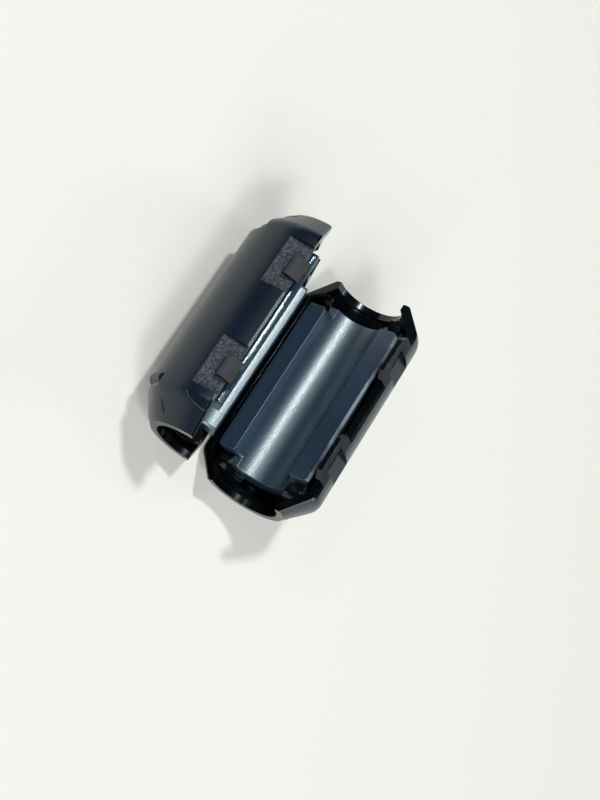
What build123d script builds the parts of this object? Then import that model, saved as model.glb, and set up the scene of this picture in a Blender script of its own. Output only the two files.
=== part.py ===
from build123d import *
import math
import os

# Clip-on ferrite bead, standing open in a V with both backs on the table.
# Millimetres. World Y is the cable direction, Z is up and Z = 0 is the table.
# Each half has its own frame: x runs from the hinge to the latch, y runs along
# the cable, z points out of the opening, and z = 0 is the plane where the two
# halves meet when shut. The cable axis of the shut bead is x = z = 0.

# Cable channel and ferrite half cores.
bore_r = 4.5
core_wall = 2.8
core_length = 27.4
land_setback = 1.375
notch_depth = 2.1
core_rise = 0.8
corner_r = 0.5
chip_r = 0.36
core_r = bore_r + core_wall
land_length = core_length - 2 * land_setback
chip_y = land_length * 0.087

# Housing: the wall round the pressed cores, with sloped ends.
core_gap = 0.9
wall = 1.4
end_taper = 3.7
mouth_clearance = 0.7
mouth_wall = 1.0
rim_gap = 0.03
rim_bevel = 0.25
inner_r = core_r + core_gap
shell_r = inner_r + wall
crease_y = core_length / 2 - 0.1
crease_fillet = end_taper * 0.54
half_length = crease_y + end_taper
cable_r = bore_r + mouth_clearance
mouth_r = cable_r + mouth_wall

# The inner wall of the sloped ends runs parallel to the outer wall.
slope = math.atan2(shell_r - mouth_r, end_taper)
inner_crease_y = crease_y + wall / math.tan(slope) - wall / math.sin(slope)
inner_end_y = inner_crease_y + (inner_r - cable_r) / math.tan(slope)

# Bulkhead rib behind each core end.
core_end_gap = 0.2
rib_t = 0.8
rib_y = core_length / 2 + core_end_gap
rib_end_y = rib_y + rib_t
rib_inner_r = cable_r + 0.4
rib_foot_r = inner_r - (rib_y - inner_crease_y) * math.tan(slope)
rib_back_r = inner_r - (rib_end_y - inner_crease_y) * math.tan(slope)

# Retaining hooks that hold the cores in.
hook_clearance = 0.04
hook_depth = 1.1
hook_x = bore_r + 0.3
hook_width = core_wall - 1.0
hook_back_y = rib_y + hook_depth
hook_tip_y = land_length / 2 + 0.175
hook_foot_z = -0.44 * shell_r
hook_under_z = core_rise - notch_depth + hook_clearance

# Spring fingers in the back of each half, bent in at their free ends.
slot_width = 0.8
slot_head = 1.1
slot_tail = 0.35
finger_drop = 0.85
finger_clearance = 0.12
finger_arc = 55.0
finger_x = 0.528 * shell_r
slot_y = core_length / 2 - 1.55
finger_tip_y = slot_y + slot_width
finger_root_y = half_length - 1.05
finger_root_r = mouth_r + (half_length - finger_root_y) * math.tan(slope)
finger_crease_r = shell_r - 0.9 * finger_drop
finger_inner_r = core_r + rim_gap + finger_clearance

# Latch: loops on the lower half, pockets with wedges on the upper half.
pocket_depth = 0.75
strap_clearance = 0.1
wedge_clearance = 0.1
loop_height = 2.95
loop_corner = 1.0
window_height = 1.75
lead_in = 0.6
pocket_length = core_length * 0.274
pocket_centre_y = core_length * 0.2975
loop_length = pocket_length - 0.4
window_length = pocket_length * 0.487
wedge_length = window_length - 0.5
pocket_floor_x = shell_r - pocket_depth
strap_inner_x = pocket_floor_x + strap_clearance
strap_outer_x = shell_r + 0.05
wedge_outer_x = shell_r + 0.25
catch_z = window_height - wedge_clearance

# Film hinge with two bend lines.
hinge_z = 0.45
web_thickness = 0.4
lug_clearance = 0.05
open_angle = 63.0
hinge_x = shell_r + 0.35
web_length = core_length - 5.4

# Where the two halves stand. The upper half is turned about its bend line.
turn = math.radians(open_angle)
shift_x = -hinge_x + hinge_x * math.cos(turn) + hinge_z * math.sin(turn)
shift_z = hinge_z + hinge_x * math.sin(turn) - hinge_z * math.cos(turn)
spread = math.hypot(shift_x, shift_z)
lean = math.atan2(shift_z, -shift_x)
far_lean = lean + turn

lower = Plane(
    origin=(spread / 2, 0, shell_r),
    x_dir=(math.cos(lean), 0, math.sin(lean)),
    z_dir=(-math.sin(lean), 0, math.cos(lean)),
)
upper = Plane(
    origin=(-spread / 2, 0, shell_r),
    x_dir=(math.cos(far_lean), 0, math.sin(far_lean)),
    z_dir=(math.sin(far_lean), 0, -math.cos(far_lean)),
)


def across(half, y):
    """Plane square to the cable at y, with sketch axes x and z of the half."""
    return Plane(half.from_local_coords((0, y, 0)), x_dir=half.x_dir, z_dir=-half.y_dir)


def along(half, x):
    """Plane along the cable at x, with sketch axes y and z of the half."""
    return Plane(half.from_local_coords((x, 0, 0)), x_dir=half.y_dir, z_dir=half.x_dir)


def side(half):
    """Plane of the rim, with sketch axes y and x of the half."""
    return Plane(half.origin, x_dir=half.y_dir, z_dir=-half.z_dir)


def radial(half):
    """Plane through the cable axis at the side of a spring finger, with axes y and radius."""
    angle = math.radians(finger_arc)
    aim = -half.x_dir * math.cos(angle) - half.z_dir * math.sin(angle)
    return Plane(half.origin, x_dir=half.y_dir, z_dir=aim)


# Spring fingers of the lower half. Each stands on the sloped end and leans in.
with BuildPart() as lower_fingers:
    for end in (-1, 1):
        with BuildSketch(radial(lower)):
            with BuildLine():
                Polyline(
                    (end * finger_tip_y, finger_inner_r),
                    (end * rib_y, finger_inner_r),
                    (end * (finger_root_y + 0.3), cable_r + 0.3),
                    (end * (finger_root_y + 0.3), finger_root_r - 0.2),
                    (end * finger_root_y, finger_root_r),
                    (end * crease_y, finger_crease_r),
                    (end * finger_tip_y, shell_r - finger_drop),
                    close=True,
                )
            make_face()
        revolve(axis=Axis(lower.origin, lower.y_dir), revolution_arc=2 * finger_arc)
    with BuildSketch(lower.offset(hook_foot_z)):
        Rectangle(2 * finger_x, 2 * half_length)
    extrude(amount=-shell_r, mode=Mode.INTERSECT)

# Lower half of the housing: half a barrel with sloped ends.
with BuildPart() as lower_shell:
    with BuildSketch(side(lower)) as lower_outline:
        with BuildLine():
            Polyline(
                (-half_length, 0),
                (-half_length, mouth_r),
                (-crease_y, shell_r),
                (crease_y, shell_r),
                (half_length, mouth_r),
                (half_length, 0),
                close=True,
            )
        make_face()
        fillet(lower_outline.vertices().group_by(Axis.Y)[-1], radius=crease_fillet)
    revolve(axis=Axis(lower.origin, lower.y_dir))
    split(bisect_by=lower.offset(-rim_gap), keep=Keep.BOTTOM)
    # Bevel along the two outer rim edges.
    chamfer(
        lower_shell.edges().filter_by(Axis.Y).sort_by(Edge.length)[-2:],
        length=rim_bevel,
    )
    # Hollow, with the cable mouth through both ends and a rib behind each core end.
    with BuildSketch(side(lower)):
        with BuildLine():
            Polyline(
                (-half_length - 1, 0),
                (-half_length - 1, cable_r),
                (-inner_end_y, cable_r),
                (-rib_end_y, rib_back_r),
                (-rib_end_y, rib_inner_r),
                (-rib_y, rib_inner_r),
                (-rib_y, rib_foot_r),
                (-inner_crease_y, inner_r),
                (inner_crease_y, inner_r),
                (rib_y, rib_foot_r),
                (rib_y, rib_inner_r),
                (rib_end_y, rib_inner_r),
                (rib_end_y, rib_back_r),
                (inner_end_y, cable_r),
                (half_length + 1, cable_r),
                (half_length + 1, 0),
                close=True,
            )
        make_face()
    revolve(axis=Axis(lower.origin, lower.y_dir), mode=Mode.SUBTRACT)
    # Four hooks reach over the notches of the core.
    for end in (-1, 1):
        for hand in (-1, 1):
            with BuildSketch(along(lower, hand * hook_x)):
                with BuildLine():
                    Polyline(
                        (end * hook_back_y, hook_foot_z),
                        (end * hook_back_y, -0.5),
                        (end * (rib_y + 0.5), -rim_gap),
                        (end * rib_y, -rim_gap),
                        (end * hook_tip_y, hook_under_z + 0.3),
                        (end * hook_tip_y, hook_under_z),
                        (end * rib_y, hook_under_z),
                        (end * rib_y, hook_foot_z),
                        close=True,
                    )
                make_face()
            extrude(amount=hand * hook_width)
    # Opening for each spring finger. The slot round the finger narrows towards the root.
    for end in (-1, 1):
        with BuildSketch(lower.offset(hook_foot_z)):
            with BuildLine():
                Polyline(
                    (-finger_x - slot_head, end * slot_y),
                    (finger_x + slot_head, end * slot_y),
                    (finger_x + slot_tail, end * finger_root_y),
                    (-finger_x - slot_tail, end * finger_root_y),
                    close=True,
                )
            make_face()
        extrude(amount=-shell_r, mode=Mode.SUBTRACT)
    add(lower_fingers.part)
    # Recess below each loop for the tip of the wedge, running out into the wall.
    for end in (-1, 1):
        with BuildSketch(along(lower, pocket_floor_x)):
            with Locations((end * pocket_centre_y, 0)):
                Rectangle(window_length, shell_r)
        extrude(amount=shell_r, mode=Mode.SUBTRACT)
    # Lip below the film hinge.
    with BuildSketch(across(lower, -web_length / 2)):
        with BuildLine():
            Polyline(
                (-shell_r + 0.3, -hinge_z - web_thickness / 2 - lug_clearance),
                (-hinge_x, -hinge_z - web_thickness / 2 - lug_clearance),
                (-hinge_x - 0.05, -hinge_z - web_thickness - lug_clearance),
                (-hinge_x - 0.05, -hinge_z - 0.85),
                (-shell_r + 0.3, -hinge_z - 1.65),
                close=True,
            )
        make_face()
    extrude(amount=-web_length)
lower_shell.part.label = "lower_shell"

# Spring fingers of the upper half. Each stands on the sloped end and leans in.
with BuildPart() as upper_fingers:
    for end in (-1, 1):
        with BuildSketch(radial(upper)):
            with BuildLine():
                Polyline(
                    (end * finger_tip_y, finger_inner_r),
                    (end * rib_y, finger_inner_r),
                    (end * (finger_root_y + 0.3), cable_r + 0.3),
                    (end * (finger_root_y + 0.3), finger_root_r - 0.2),
                    (end * finger_root_y, finger_root_r),
                    (end * crease_y, finger_crease_r),
                    (end * finger_tip_y, shell_r - finger_drop),
                    close=True,
                )
            make_face()
        revolve(axis=Axis(upper.origin, upper.y_dir), revolution_arc=2 * finger_arc)
    with BuildSketch(upper.offset(hook_foot_z)):
        Rectangle(2 * finger_x, 2 * half_length)
    extrude(amount=-shell_r, mode=Mode.INTERSECT)

# Upper half of the housing, the same barrel with the latch pockets.
with BuildPart() as upper_shell:
    with BuildSketch(side(upper)) as upper_outline:
        with BuildLine():
            Polyline(
                (-half_length, 0),
                (-half_length, mouth_r),
                (-crease_y, shell_r),
                (crease_y, shell_r),
                (half_length, mouth_r),
                (half_length, 0),
                close=True,
            )
        make_face()
        fillet(upper_outline.vertices().group_by(Axis.Y)[-1], radius=crease_fillet)
    revolve(axis=Axis(upper.origin, upper.y_dir))
    split(bisect_by=upper.offset(-rim_gap), keep=Keep.BOTTOM)
    # Bevel along the two outer rim edges.
    chamfer(
        upper_shell.edges().filter_by(Axis.Y).sort_by(Edge.length)[-2:],
        length=rim_bevel,
    )
    # Hollow, with the cable mouth through both ends and a rib behind each core end.
    with BuildSketch(side(upper)):
        with BuildLine():
            Polyline(
                (-half_length - 1, 0),
                (-half_length - 1, cable_r),
                (-inner_end_y, cable_r),
                (-rib_end_y, rib_back_r),
                (-rib_end_y, rib_inner_r),
                (-rib_y, rib_inner_r),
                (-rib_y, rib_foot_r),
                (-inner_crease_y, inner_r),
                (inner_crease_y, inner_r),
                (rib_y, rib_foot_r),
                (rib_y, rib_inner_r),
                (rib_end_y, rib_inner_r),
                (rib_end_y, rib_back_r),
                (inner_end_y, cable_r),
                (half_length + 1, cable_r),
                (half_length + 1, 0),
                close=True,
            )
        make_face()
    revolve(axis=Axis(upper.origin, upper.y_dir), mode=Mode.SUBTRACT)
    # Four hooks reach over the notches of the core.
    for end in (-1, 1):
        for hand in (-1, 1):
            with BuildSketch(along(upper, hand * hook_x)):
                with BuildLine():
                    Polyline(
                        (end * hook_back_y, hook_foot_z),
                        (end * hook_back_y, -0.5),
                        (end * (rib_y + 0.5), -rim_gap),
                        (end * rib_y, -rim_gap),
                        (end * hook_tip_y, hook_under_z + 0.3),
                        (end * hook_tip_y, hook_under_z),
                        (end * rib_y, hook_under_z),
                        (end * rib_y, hook_foot_z),
                        close=True,
                    )
                make_face()
            extrude(amount=hand * hook_width)
    # Opening for each spring finger. The slot round the finger narrows towards the root.
    for end in (-1, 1):
        with BuildSketch(upper.offset(hook_foot_z)):
            with BuildLine():
                Polyline(
                    (-finger_x - slot_head, end * slot_y),
                    (finger_x + slot_head, end * slot_y),
                    (finger_x + slot_tail, end * finger_root_y),
                    (-finger_x - slot_tail, end * finger_root_y),
                    close=True,
                )
            make_face()
        extrude(amount=-shell_r, mode=Mode.SUBTRACT)
    add(upper_fingers.part)
    # Flat pockets that take the loops, running out into the round wall.
    for end in (-1, 1):
        with BuildSketch(along(upper, pocket_floor_x)):
            with Locations((end * pocket_centre_y, 0)):
                Rectangle(pocket_length, shell_r)
        extrude(amount=shell_r, mode=Mode.SUBTRACT)
    # A wedge in each pocket, with a lead-in tongue past the rim.
    for end in (-1, 1):
        with BuildSketch(across(upper, end * pocket_centre_y - wedge_length / 2)):
            with BuildLine():
                Polyline(
                    (pocket_floor_x - 0.3, -catch_z),
                    (wedge_outer_x, -catch_z),
                    (wedge_outer_x, -catch_z + 0.5),
                    (strap_inner_x + 0.35, lead_in),
                    (strap_inner_x, lead_in),
                    (strap_inner_x, -rim_gap),
                    (pocket_floor_x - 0.3, -rim_gap),
                    close=True,
                )
            make_face()
        extrude(amount=-wedge_length)
    # Lip below the film hinge.
    with BuildSketch(across(upper, -web_length / 2)):
        with BuildLine():
            Polyline(
                (-shell_r + 0.3, -hinge_z - web_thickness / 2 - lug_clearance),
                (-hinge_x, -hinge_z - web_thickness / 2 - lug_clearance),
                (-hinge_x - 0.05, -hinge_z - web_thickness - lug_clearance),
                (-hinge_x - 0.05, -hinge_z - 0.85),
                (-shell_r + 0.3, -hinge_z - 1.65),
                close=True,
            )
        make_face()
    extrude(amount=-web_length)
upper_shell.part.label = "upper_shell"

# Ferrite half core in the lower half, standing proud on its springs.
lower_seat = lower.offset(core_rise)
with BuildPart() as lower_core:
    with BuildSketch(across(lower_seat, -core_length / 2)):
        Circle(core_r)
        Circle(bore_r, mode=Mode.SUBTRACT)
        Rectangle(
            3 * core_r,
            3 * core_r,
            align=(Align.CENTER, Align.MIN),
            mode=Mode.SUBTRACT,
        )
    extrude(amount=-core_length)
    # The lands stop short of the ends and leave four notches.
    for end in (-1, 1):
        with BuildSketch(lower_seat):
            with Locations((0, end * (land_length + core_length) / 4)):
                Rectangle(3 * core_r, land_setback)
        extrude(amount=-notch_depth, mode=Mode.SUBTRACT)
    # Rounded ends of the lands.
    fillet(
        lower_core.edges()
        .filter_by(lambda e: abs(e.tangent_at(0.5).dot(lower.z_dir)) > 0.94)
        .filter_by(lambda e: abs(abs(e.center().Y) - land_length / 2) < 0.01),
        radius=corner_r,
    )
    # Small chip in the bore edge of the latch side land.
    with Locations(lower_seat.from_local_coords((bore_r, chip_y, 0.1))):
        Sphere(chip_r, mode=Mode.SUBTRACT)
lower_core.part.label = "lower_core"

# Ferrite half core in the upper half.
upper_seat = upper.offset(core_rise)
with BuildPart() as upper_core:
    with BuildSketch(across(upper_seat, -core_length / 2)):
        Circle(core_r)
        Circle(bore_r, mode=Mode.SUBTRACT)
        Rectangle(
            3 * core_r,
            3 * core_r,
            align=(Align.CENTER, Align.MIN),
            mode=Mode.SUBTRACT,
        )
    extrude(amount=-core_length)
    # The lands stop short of the ends and leave four notches.
    for end in (-1, 1):
        with BuildSketch(upper_seat):
            with Locations((0, end * (land_length + core_length) / 4)):
                Rectangle(3 * core_r, land_setback)
        extrude(amount=-notch_depth, mode=Mode.SUBTRACT)
    # Rounded ends of the lands.
    fillet(
        upper_core.edges()
        .filter_by(lambda e: abs(e.tangent_at(0.5).dot(upper.z_dir)) > 0.94)
        .filter_by(lambda e: abs(abs(e.center().Y) - land_length / 2) < 0.01),
        radius=corner_r,
    )
upper_core.part.label = "upper_core"

# Film hinge between the two lips: a flat web with round edges.
with BuildPart() as hinge_web:
    with BuildSketch(across(lower, -web_length / 2)):
        with Locations((-hinge_x, 0)):
            SlotCenterToCenter(2 * hinge_z, web_thickness, rotation=90)
    extrude(amount=-web_length)
hinge_web.part.label = "hinge_web"

# Latch loops on the rim of the lower half, each with a window for its wedge.
with BuildPart() as latch_loop_near:
    with BuildSketch(along(lower, strap_inner_x)) as near_strap:
        with Locations((-pocket_centre_y, -rim_gap)):
            Rectangle(
                loop_length,
                loop_height + rim_gap,
                align=(Align.CENTER, Align.MIN),
            )
        chamfer(near_strap.vertices().group_by(Axis.Y)[-1], length=loop_corner)
        with Locations((-pocket_centre_y, -rim_gap)):
            Rectangle(
                window_length,
                window_height + rim_gap,
                align=(Align.CENTER, Align.MIN),
                mode=Mode.SUBTRACT,
            )
    extrude(amount=strap_outer_x - strap_inner_x)
latch_loop_near.part.label = "latch_loop_near"

with BuildPart() as latch_loop_far:
    with BuildSketch(along(lower, strap_inner_x)) as far_strap:
        with Locations((pocket_centre_y, -rim_gap)):
            Rectangle(
                loop_length,
                loop_height + rim_gap,
                align=(Align.CENTER, Align.MIN),
            )
        chamfer(far_strap.vertices().group_by(Axis.Y)[-1], length=loop_corner)
        with Locations((pocket_centre_y, -rim_gap)):
            Rectangle(
                window_length,
                window_height + rim_gap,
                align=(Align.CENTER, Align.MIN),
                mode=Mode.SUBTRACT,
            )
    extrude(amount=strap_outer_x - strap_inner_x)
latch_loop_far.part.label = "latch_loop_far"

os.makedirs("parts", exist_ok=True)
export_step(lower_shell.part, "parts/lower_shell.step")
export_step(upper_shell.part, "parts/upper_shell.step")
export_step(lower_core.part, "parts/lower_core.step")
export_step(upper_core.part, "parts/upper_core.step")
export_step(hinge_web.part, "parts/hinge_web.step")
export_step(latch_loop_near.part, "parts/latch_loop_near.step")
export_step(latch_loop_far.part, "parts/latch_loop_far.step")
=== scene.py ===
# %% [markdown]
# # A clip-on ferrite bead, open on a white table
# The bead is a hinged plastic case with two ferrite half cores. The solids come in at their real size and
# keep their shapes. This notebook gives them their finishes and sets up the table, the light and the
# camera.

# %% Load the frame
import math

import bpy
from mathutils import Matrix, Vector

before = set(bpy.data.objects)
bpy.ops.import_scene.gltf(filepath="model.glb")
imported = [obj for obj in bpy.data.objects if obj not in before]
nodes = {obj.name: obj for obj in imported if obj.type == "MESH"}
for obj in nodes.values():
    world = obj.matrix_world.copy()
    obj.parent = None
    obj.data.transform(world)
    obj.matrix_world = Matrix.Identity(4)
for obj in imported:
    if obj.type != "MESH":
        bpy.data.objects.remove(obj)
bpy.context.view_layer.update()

bpy.ops.object.select_all(action="DESELECT")
print("nodes:", sorted(nodes))

# %% [markdown]
# The two halves lean outwards in a V. Each half has its own axes: x runs from the hinge to the latch,
# y along the cable and z out of the opening, and all three start on the cable's axis. A finish that
# changes from the outside of a moulding to its inside needs those axes. They could be measured on the
# meshes, but the sizes that made the solids give them exactly, so they are worked out here once.

# %% Axes of the two halves
MM = 0.001
HINGE_X, HINGE_Z, SHELL_R, OPEN_ANGLE = 9.95, 0.45, 9.6, 63.0
turn = math.radians(OPEN_ANGLE)
shift_x = -HINGE_X + HINGE_X * math.cos(turn) + HINGE_Z * math.sin(turn)
shift_z = HINGE_Z + HINGE_X * math.sin(turn) - HINGE_Z * math.cos(turn)
spread = math.hypot(shift_x, shift_z)
lean = math.atan2(shift_z, -shift_x)
far_lean = lean + turn

lower_x = Vector((math.cos(lean), 0, math.sin(lean)))
lower_z = Vector((-math.sin(lean), 0, math.cos(lean)))
lower_origin = Vector((spread / 2, 0, SHELL_R)) * MM
upper_x = Vector((math.cos(far_lean), 0, math.sin(far_lean)))
upper_z = Vector((math.sin(far_lean), 0, -math.cos(far_lean)))
upper_origin = Vector((-spread / 2, 0, SHELL_R)) * MM
print("lean of the lower half:", round(math.degrees(lean), 1), "degrees")


# %% [markdown]
# Colours are written as the hex codes a paint program shows, and one function turns them to the linear
# values that Blender works in. A second small function adds a node with its settings and links, and a
# third starts a material with no nodes in it.

# %% Helpers for colours and nodes
def linear(code):
    parts = [int(code[i:i + 2], 16) / 255 for i in (1, 3, 5)]
    return [c / 12.92 if c <= 0.04045 else ((c + 0.055) / 1.055) ** 2.4 for c in parts] + [1.0]


def add(tree, kind, links=None, **settings):
    node = tree.nodes.new(kind)
    for name, value in settings.items():
        if name.startswith("in_"):
            key = name[3:]
            node.inputs[int(key) if key.isdigit() else key.replace("_", " ")].default_value = value
        else:
            setattr(node, name, value)
    for key, socket in (links or {}).items():
        tree.links.new(socket, node.inputs[key])
    return node


def new_material(name):
    mat = bpy.data.materials.new(name)
    mat.use_nodes = True
    mat.node_tree.nodes.clear()
    return mat, mat.node_tree


print("a middle grey of #808080 is", round(linear("#808080")[0], 3), "in linear light")

# %% [markdown]
# Two more helpers serve the finishes that follow a moulded form. The first turns a point of the surface
# into millimetres along the axes of its half. It also says how far the surface faces away from the cable,
# and how far it faces sideways, to the latch or the hinge. The second makes a mask from a few limits. It
# is one where each value has passed its limit and zero elsewhere, with a short soft edge in between, so
# two finishes meet without a hard line.

# %% Helpers for places on a half
def place_on_half(tree, origin, x_axis, z_axis):
    source = add(tree, "ShaderNodeTexCoord")
    coords = source.outputs["Object"]
    moved = add(tree, "ShaderNodeVectorMath", {0: coords}, operation="SUBTRACT", in_1=origin)
    grown = add(tree, "ShaderNodeVectorMath", {0: moved.outputs[0]}, operation="SCALE", in_Scale=1 / MM)
    across = add(tree, "ShaderNodeVectorMath", {0: grown.outputs[0]}, operation="DOT_PRODUCT", in_1=x_axis)
    height = add(tree, "ShaderNodeVectorMath", {0: grown.outputs[0]}, operation="DOT_PRODUCT", in_1=z_axis)
    along = add(tree, "ShaderNodeSeparateXYZ", {0: grown.outputs[0]}).outputs["Y"]
    flat = add(tree, "ShaderNodeVectorMath", {0: grown.outputs[0]}, operation="MULTIPLY", in_1=(1, 0, 1))
    radius = add(tree, "ShaderNodeVectorMath", {0: flat.outputs[0]}, operation="LENGTH").outputs["Value"]
    ray = add(tree, "ShaderNodeVectorMath", {0: flat.outputs[0]}, operation="NORMALIZE").outputs[0]
    facing = add(tree, "ShaderNodeVectorMath", {0: ray, 1: source.outputs["Normal"]},
                 operation="DOT_PRODUCT").outputs["Value"]
    from_middle = add(tree, "ShaderNodeMath", {0: along}, operation="ABSOLUTE").outputs[0]
    sideways = add(tree, "ShaderNodeVectorMath", {0: source.outputs["Normal"]}, operation="DOT_PRODUCT",
                   in_1=x_axis).outputs["Value"]
    return {"coords": coords, "x": across.outputs["Value"], "z": height.outputs["Value"],
            "y": from_middle, "radius": radius, "facing": facing, "sideways": sideways}


def mask(tree, *limits):
    result = None
    for value, start, end in limits:
        passed = add(tree, "ShaderNodeMapRange", {"Value": value}, in_1=start, in_2=end).outputs["Result"]
        if result is None:
            result = passed
        else:
            result = add(tree, "ShaderNodeMath", {0: result, 1: passed}, operation="MULTIPLY").outputs[0]
    return result


print("places are measured from", [round(v / MM, 2) for v in lower_origin], "and",
      [round(v / MM, 2) for v in upper_origin], "mm")

# %% [markdown]
# The case is injection moulded nylon 66, black, in a flame retardant grade. The mould was blasted on the
# outside, so the outer skin is satin and spreads the light into a soft grey sheen. Inside, and on the rims,
# hooks and ribs, the steel was only polished, so there the plastic is glossy and looks almost black with
# small sharp glints. Two materials would need every face of the solids to be sorted by hand, so one
# carries both finishes. The outer skin is told from the rest because it faces away from the cable, lies
# within a wall's thickness of the outside and ends just under the rim. A real moulding has no knife edges.
# The Bevel node rounds each one by under a tenth of a millimetre in the shading, so that it draws the fine
# light line that shows the case's outline.

# %% Moulded black nylon
CREASE_Y, CONE_SLOPE = 13.6, 0.919     # where the cones start, and how fast their radius falls
SKIN_DEPTH, RIM_Z = 1.0, -0.30         # how deep and how high the satin skin reaches
EDGE_RADIUS = 0.07                     # rounding of the moulded edges
GRAIN = 0.22                           # blasted grain, coarser than real so that it shows
SHELL_CLOUD = 7.0                      # width of the faint clouds that a cooling moulding shows
MASK_EDGE = 0.03                       # half the width of the line where two finishes meet


def satin_skin(tree, place):
    cone = add(tree, "ShaderNodeMath", {0: place["y"]}, operation="SUBTRACT", in_1=CREASE_Y)
    fall = add(tree, "ShaderNodeMath", {0: cone.outputs[0]}, operation="MULTIPLY", in_1=CONE_SLOPE)
    lost = add(tree, "ShaderNodeMath", {0: fall.outputs[0]}, operation="MAXIMUM", in_1=0.0)
    reach = add(tree, "ShaderNodeMath", {0: place["radius"], 1: lost.outputs[0]}, operation="ADD")
    inner = SHELL_R - SKIN_DEPTH
    return mask(tree, (reach.outputs[0], inner - 0.05, inner + 0.05), (place["facing"], 0.3, 0.45),
                (place["z"], RIM_Z + MASK_EDGE, RIM_Z - MASK_EDGE))


def moulded_nylon(name, origin, x_axis, z_axis):
    mat, tree = new_material(name)
    place = place_on_half(tree, origin, x_axis, z_axis)
    satin = satin_skin(tree, place)
    cloud = add(tree, "ShaderNodeTexNoise", {"Vector": place["coords"]}, in_Scale=1 / (SHELL_CLOUD * MM),
                in_Detail=3.0)
    grain = add(tree, "ShaderNodeTexNoise", {"Vector": place["coords"]}, in_Scale=1 / (GRAIN * MM),
                in_Detail=2.0)
    skin = add(tree, "ShaderNodeMix", {"Factor": cloud.outputs["Fac"]}, data_type="RGBA",
               in_6=linear("#081624"), in_7=linear("#0C1E2F"))
    tone = add(tree, "ShaderNodeMix", {"Factor": satin, 7: skin.outputs[2]}, data_type="RGBA",
               in_6=linear("#04070B"))
    polish = add(tree, "ShaderNodeMapRange", {"Value": cloud.outputs["Fac"]}, in_3=0.12, in_4=0.18)
    blast = add(tree, "ShaderNodeMapRange", {"Value": cloud.outputs["Fac"]}, in_3=0.27, in_4=0.34)
    rough = add(tree, "ShaderNodeMix", {"Factor": satin, 2: polish.outputs["Result"],
                                        3: blast.outputs["Result"]}, data_type="FLOAT")
    edge = add(tree, "ShaderNodeBevel", samples=4, in_Radius=EDGE_RADIUS * MM)
    depth = add(tree, "ShaderNodeMapRange", {"Value": satin}, in_3=0.02, in_4=0.12)
    bump = add(tree, "ShaderNodeBump", {"Height": grain.outputs["Fac"], "Strength": depth.outputs["Result"],
                                        "Normal": edge.outputs["Normal"]}, in_Distance=0.02 * MM)
    shader = add(tree, "ShaderNodeBsdfPrincipled",
                 {"Base Color": tone.outputs[2], "Roughness": rough.outputs[0],
                  "Normal": bump.outputs["Normal"]}, in_IOR=1.5, in_Sheen_Weight=0.10,
                 in_Sheen_Roughness=0.25)
    add(tree, "ShaderNodeOutputMaterial", {"Surface": shader.outputs["BSDF"]})
    return mat, tree, place, {"tone": tone.outputs[2], "rough": rough.outputs[0], "bump": bump,
                              "shader": shader}


lower_nylon = moulded_nylon("moulded black nylon", lower_origin, lower_x, lower_z)[0]
print("nylon: satin outside radius", SHELL_R - SKIN_DEPTH, "mm, polished inside")

# %% [markdown]
# The upper half has two flat pockets in its skin, where the latch loops land. Their floors were left
# rough by spark erosion: a coarse matt grain of little craters, dark grey with lighter specks. Modelled
# craters would take a great many faces, so the grain is a noise on the colour and the bump. A pocket's
# floor is one flat face, so it is told by its distance from the cable's axis along x. The wedge that
# stands in each pocket was milled into the mould apart, and is plain and matt.

# %% Upper half with its spark eroded pockets
POCKET_FLOOR_X = 8.85                  # distance of the pockets' floors from the cable's axis
CRATER = 0.32                          # eroded craters, coarser than real so that they show
WEDGE_Y, WEDGE_HALF = 8.15, 1.58       # middle of a wedge along the cable, and half its length
upper_nylon, tree, place, parts = moulded_nylon("moulded black nylon with eroded pockets", upper_origin,
                                                upper_x, upper_z)
off_floor = add(tree, "ShaderNodeMath", {0: place["x"]}, operation="SUBTRACT", in_1=POCKET_FLOOR_X)
gap = add(tree, "ShaderNodeMath", {0: off_floor.outputs[0]}, operation="ABSOLUTE").outputs[0]
pocket = mask(tree, (gap, 2 * MASK_EDGE, MASK_EDGE), (place["radius"], SHELL_R - 0.03, SHELL_R - 0.08))
craters = add(tree, "ShaderNodeTexNoise", {"Vector": place["coords"]}, in_Scale=1 / (CRATER * MM),
              in_Detail=5.0, in_Roughness=0.8)
speck = mask(tree, (craters.outputs["Fac"], 0.45, 0.68))
eroded = add(tree, "ShaderNodeMix", {"Factor": speck}, data_type="RGBA",
             in_6=linear("#151F2A"), in_7=linear("#66737E"))
tone = add(tree, "ShaderNodeMix", {"Factor": pocket, 6: parts["tone"], 7: eroded.outputs[2]},
           data_type="RGBA")
from_wedge = add(tree, "ShaderNodeMath", {0: place["y"]}, operation="SUBTRACT", in_1=WEDGE_Y)
aside = add(tree, "ShaderNodeMath", {0: from_wedge.outputs[0]}, operation="ABSOLUTE").outputs[0]
wedge = mask(tree, (place["x"], POCKET_FLOOR_X + MASK_EDGE, POCKET_FLOOR_X + 2 * MASK_EDGE),
             (aside, WEDGE_HALF + 2 * MASK_EDGE, WEDGE_HALF + MASK_EDGE))
smooth = add(tree, "ShaderNodeMix", {"Factor": wedge, 2: parts["rough"]}, data_type="FLOAT", in_3=0.52)
rough = add(tree, "ShaderNodeMix", {"Factor": pocket, 2: smooth.outputs[0]}, data_type="FLOAT", in_3=0.62)
pit_depth = add(tree, "ShaderNodeMapRange", {"Value": pocket}, in_3=0.0, in_4=0.7)
pits = add(tree, "ShaderNodeBump",
           {"Height": craters.outputs["Fac"], "Strength": pit_depth.outputs["Result"],
            "Normal": parts["bump"].outputs["Normal"]}, in_Distance=0.06 * MM)
tree.links.new(tone.outputs[2], parts["shader"].inputs["Base Color"])
tree.links.new(rough.outputs[0], parts["shader"].inputs["Roughness"])
tree.links.new(pits.outputs["Normal"], parts["shader"].inputs["Normal"])
print("pocket grain:", CRATER, "mm")


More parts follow.
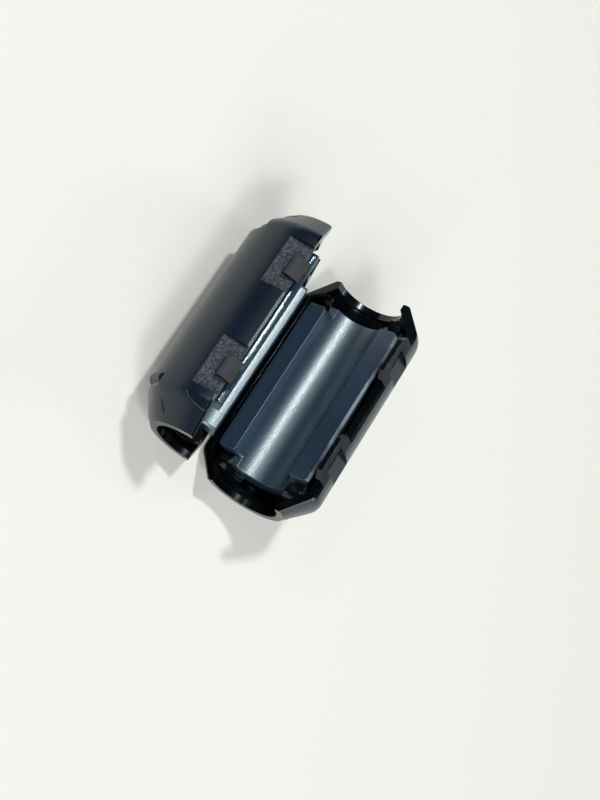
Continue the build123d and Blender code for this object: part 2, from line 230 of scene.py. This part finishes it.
# %% [markdown]
# The latch loops and the hinge strip belong to the same moulding. The loops are thin, were polished all
# over, and catch the light only along their edges. The hinge strip flexes each time the case is opened,
# which leaves it matt. They could carry the case's material, but have no inside and outside for it to tell
# apart, so a plainer one serves both, each with its own roughness.

# %% Nylon of the loops and the hinge
LOOP_CLOUD = 2.5                       # width of the clouds on these small pieces


def thin_nylon(name, smoothest, roughest):
    mat, tree = new_material(name)
    coords = add(tree, "ShaderNodeTexCoord").outputs["Object"]
    cloud = add(tree, "ShaderNodeTexNoise", {"Vector": coords}, in_Scale=1 / (LOOP_CLOUD * MM),
                in_Detail=3.0)
    tone = add(tree, "ShaderNodeMix", {"Factor": cloud.outputs["Fac"]}, data_type="RGBA",
               in_6=linear("#060A0F"), in_7=linear("#0B1118"))
    rough = add(tree, "ShaderNodeMapRange", {"Value": cloud.outputs["Fac"]}, in_3=smoothest, in_4=roughest)
    edge = add(tree, "ShaderNodeBevel", samples=4, in_Radius=EDGE_RADIUS * MM)
    shader = add(tree, "ShaderNodeBsdfPrincipled",
                 {"Base Color": tone.outputs[2], "Roughness": rough.outputs["Result"],
                  "Normal": edge.outputs["Normal"]}, in_IOR=1.53)
    add(tree, "ShaderNodeOutputMaterial", {"Surface": shader.outputs["BSDF"]})
    return mat


loop_nylon = thin_nylon("polished black nylon", 0.16, 0.24)
hinge_nylon = thin_nylon("flexed black nylon", 0.50, 0.60)
print("loops:", loop_nylon.name, "- hinge:", hinge_nylon.name)

# %% [markdown]
# The cores are ferrite, a sintered iron oxide ceramic. It is dense, so it reflects more than plastic does:
# iron oxides have a refractive index near 2.9. The pressed skin is satin, which draws one soft bright
# streak along the bore under a ceiling light, and very dark blue grey beside it. The powder's grain
# shows as a faint sparkle, made by a fine noise on the roughness and the bump. Cores are tumbled after
# firing, which rounds their edges, and the Bevel node draws that. The flat sides slid along the die as the
# powder was pressed. In the picture the upper core's side is smooth, with sharper edges, and mirrors the
# room as a white strip. The lower core's side shows a pale strip beside the latch, which is light that it
# reflects. Here that reflection is painted into the side's colour as a pale matt tone. One function makes
# both cores' materials, each with its own values for its sides and its edges.

# %% Sintered ferrite
POWDER = 0.26                          # pressed powder grain, coarser than real so that it shows
CORE_R = 7.3                           # distance of the core's flat sides from the cable's axis
CORE_CLOUD = 4.0                       # width of the faint clouds on the fired skin
FERRITE_IOR = 2.75                     # a little under iron oxide's, set by how bright the streak is


def sintered_ferrite(name, origin, x_axis, z_axis, side_tone_and_painted_reflection, side_rough, rounding):
    mat, tree = new_material(name)
    place = place_on_half(tree, origin, x_axis, z_axis)
    coords = place["coords"]
    cloud = add(tree, "ShaderNodeTexNoise", {"Vector": coords}, in_Scale=1 / (CORE_CLOUD * MM),
                in_Detail=4.0)
    grit = add(tree, "ShaderNodeTexNoise", {"Vector": coords}, in_Scale=1 / (POWDER * MM), in_Detail=3.0)
    tone = add(tree, "ShaderNodeMix", {"Factor": cloud.outputs["Fac"]}, data_type="RGBA",
               in_6=linear("#0C253F"), in_7=linear("#112D4A"))
    skin = add(tree, "ShaderNodeMapRange", {"Value": grit.outputs["Fac"]}, in_1=0.3, in_2=0.7,
               in_3=0.34, in_4=0.46)
    reach = add(tree, "ShaderNodeMath", {0: place["x"]}, operation="ABSOLUTE").outputs[0]
    turned_away = add(tree, "ShaderNodeMath", {0: place["sideways"]}, operation="ABSOLUTE").outputs[0]
    side = mask(tree, (reach, CORE_R - 0.10, CORE_R - 0.05), (turned_away, 0.8, 0.9))
    # the side's colour: for the lower core a painted reflection, a pale tone standing in for light the side
    # reflects
    colour = add(tree, "ShaderNodeMix", {"Factor": side, 6: tone.outputs[2]}, data_type="RGBA",
                 in_7=linear(side_tone_and_painted_reflection))
    rough = add(tree, "ShaderNodeMix", {"Factor": side, 2: skin.outputs["Result"]}, data_type="FLOAT",
                in_3=side_rough)
    edge = add(tree, "ShaderNodeBevel", samples=12, in_Radius=rounding * MM)
    flat = add(tree, "ShaderNodeNewGeometry").outputs["Normal"]
    turned = add(tree, "ShaderNodeMix", {"Factor": side, 4: edge.outputs["Normal"], 5: flat},
                 data_type="VECTOR").outputs[1]
    depth = add(tree, "ShaderNodeMapRange", {"Value": side}, in_3=0.6, in_4=0.04)
    bump = add(tree, "ShaderNodeBump", {"Height": grit.outputs["Fac"], "Normal": turned,
                                        "Strength": depth.outputs["Result"]}, in_Distance=0.04 * MM)
    shader = add(tree, "ShaderNodeBsdfPrincipled",
                 {"Base Color": colour.outputs[2], "Roughness": rough.outputs[0],
                  "Normal": bump.outputs["Normal"]}, in_IOR=FERRITE_IOR,
                 in_Specular_Tint=linear("#E6F8FA"))
    add(tree, "ShaderNodeOutputMaterial", {"Surface": shader.outputs["BSDF"]})
    return mat


# the lower core's pale side colour is a painted reflection, not the ferrite's own colour
lower_ferrite = sintered_ferrite("sintered ferrite", lower_origin, lower_x, lower_z,
                                 "#A9B7C3", 0.50, 0.16)
upper_ferrite = sintered_ferrite("sintered ferrite of the upper half", upper_origin, upper_x, upper_z,
                                 "#153049", 0.20, 0.04)
print("ferrite: flat sides", CORE_R, "mm from the cable's axis, powder grain", POWDER, "mm")

# %% [markdown]
# The solids have the right shapes, so nothing stands in for them: each keeps its mesh and gets its finish.

# %% Put the finishes on the solids
finishes = {
    "lower_shell": lower_nylon,
    "upper_shell": upper_nylon,
    "hinge_web": hinge_nylon,
    "latch_loop_near": loop_nylon,
    "latch_loop_far": loop_nylon,
    "lower_core": lower_ferrite,
    "upper_core": upper_ferrite,
}
for name, mat in finishes.items():
    mesh = nodes[name].data
    mesh.materials.clear()
    mesh.materials.append(mat)
    print(name, "is", mat.name)

# %% [markdown]
# The table is a plain pale sheet, more than ten times as wide as the bead, so that no edge shows in the
# picture. It is painted, which leaves a very shallow orange peel. A small share of plain glow, seen only by
# the camera and in reflections, keeps its shadows as pale as they are in the picture. A curved backdrop
# would add nothing, because the camera looks down and sees only table.

# %% Table
TABLE_WIDTH = 0.4                      # metres
ORANGE_PEEL = 5.0                      # width of the paint's shallow waves, in millimetres
GLOW_SHARE = 0.16                      # share of the table's light that is plain glow

bpy.ops.mesh.primitive_plane_add(size=TABLE_WIDTH, location=(0, 0, 0))
floor = bpy.context.object
floor.name = "table_top"
floor_mat, tree = new_material("pale painted table")
coords = add(tree, "ShaderNodeTexCoord").outputs["Object"]
waves = add(tree, "ShaderNodeTexNoise", {"Vector": coords}, in_Scale=1 / (ORANGE_PEEL * MM), in_Detail=3.0)
bump = add(tree, "ShaderNodeBump", {"Height": waves.outputs["Fac"]}, in_Strength=0.04,
           in_Distance=0.2 * MM)
paint = add(tree, "ShaderNodeBsdfPrincipled", {"Normal": bump.outputs["Normal"]},
            in_Base_Color=linear("#FBFAF1"), in_Roughness=0.7)
glow = add(tree, "ShaderNodeEmission", in_Color=linear("#F3F4EE"), in_Strength=1.0)
seen_by = add(tree, "ShaderNodeLightPath")
direct = add(tree, "ShaderNodeMath", {0: seen_by.outputs["Is Camera Ray"],
                                      1: seen_by.outputs["Is Glossy Ray"]}, operation="MAXIMUM")
share = add(tree, "ShaderNodeMath", {0: direct.outputs[0]}, operation="MULTIPLY", in_1=GLOW_SHARE)
mixed = add(tree, "ShaderNodeMixShader", {0: share.outputs[0], 1: paint.outputs["BSDF"],
                                          2: glow.outputs["Emission"]})
add(tree, "ShaderNodeOutputMaterial", {"Surface": mixed.outputs[0]})
floor.data.materials.append(floor_mat)
floor.select_set(False)
print("table:", [round(v, 2) for v in floor.dimensions], "m")

# %% [markdown]
# The bead throws three faint shadows in the picture, so three ceiling lights are set up in the directions
# that those shadows give, each with the share of the light that its shadow takes away. A fourth, small one
# stands where the bright line on the rim points. A pale window on the latch side and a broad soft light
# from behind the camera fill in. The world itself is weak, so that the polished plastic stays black, and
# only the camera sees it as a pale wall. Each lamp is given by the light that it sends square on to the
# bead, and its power follows from that. A picture of a whole room could light the bead too, but would need
# an image file.

# %% World and lamps
world = bpy.data.worlds.new("room")
bpy.context.scene.world = world
world.use_nodes = True
tree = world.node_tree
tree.nodes.clear()
path = add(tree, "ShaderNodeLightPath")
fill = add(tree, "ShaderNodeBackground", in_Color=linear("#B4D0F4"), in_Strength=0.07)
seen = add(tree, "ShaderNodeBackground", in_Color=linear("#EBECE7"), in_Strength=1.0)
mix = add(tree, "ShaderNodeMixShader", {0: path.outputs["Is Camera Ray"], 1: fill.outputs[0],
                                        2: seen.outputs[0]})
add(tree, "ShaderNodeOutputWorld", {"Surface": mix.outputs[0]})


def lamp(name, direction, distance, size, light, colour="#FFFFFF", height=None):
    place = Vector(direction).normalized() * distance
    data = bpy.data.lights.new(name, "AREA")
    data.shape = "RECTANGLE"
    data.size = size
    data.size_y = height or size
    data.energy = light * math.pi * distance ** 2
    data.color = linear(colour)[:3]
    obj = bpy.data.objects.new(name, data)
    bpy.context.scene.collection.objects.link(obj)
    obj.matrix_world = Matrix.Translation(place) @ (-place).to_track_quat("-Z", "Y").to_matrix().to_4x4()
    print(name, "power", round(data.energy, 2), "W")
    return obj


lamp("ceiling_key", (-0.315, 0.34, 0.886), 0.6, 0.05, 1.38)
lamp("ceiling_second", (-0.73, 0.10, 0.66), 0.6, 0.08, 0.15)
lamp("ceiling_third", (0.05, -0.47, 0.88), 0.6, 0.10, 0.60)
lamp("ceiling_fourth", (0.73, 0.32, 0.60), 0.6, 0.10, 0.22, "#D4F2F0")
lamp("window_side", (0.86, 0.30, 0.36), 0.85, 0.30, 0.25, "#E8F4FF", height=0.55)
lamp("soft_behind", (0.10, -0.76, 0.64), 0.8, 0.60, 1.55)

# %% [markdown]
# The camera stands where the photographer's phone was. Its place, tilt and lens come from a fit of the
# bead's corners in the picture: 55 degrees above the table, with the picture turned on its side. Set by
# eye it would be a few degrees off, and no line of the bead would lie where the picture has it.

# %% Camera
FOCAL_PX, LONG_SIDE_PX = 1385, 800     # lens and height of the picture, both in pixels
SENSOR_MM = 36
LAND_RISE = 0.8                        # height of the lower core's lands over the cable's axis

right = 0.8118 * lower_x + Vector((0, 0.514, 0)) - 0.277 * lower_z
up = -0.337 * lower_x + Vector((0, 0.799, 0)) + 0.498 * lower_z
back = right.cross(up).normalized()
up = back.cross(right).normalized()
right = up.cross(back)
land_centre = lower_origin + lower_z * (LAND_RISE * MM)
eye = land_centre + (-1.077 * right - 1.612 * up + 189.2 * back) * MM
data = bpy.data.cameras.new("photo_camera")
data.sensor_fit = "AUTO"
data.sensor_width = SENSOR_MM
data.lens = FOCAL_PX / LONG_SIDE_PX * SENSOR_MM
data.clip_start = 0.01
data.clip_end = 5
camera = bpy.data.objects.new("photo_camera", data)
bpy.context.scene.collection.objects.link(camera)
camera.matrix_world = Matrix(((right.x, up.x, back.x, eye.x), (right.y, up.y, back.y, eye.y),
                              (right.z, up.z, back.z, eye.z), (0, 0, 0, 1)))
bpy.context.scene.camera = camera
bpy.context.scene.view_settings.view_transform = "Standard"
print("camera at", [round(v * 1000, 1) for v in eye], "mm")
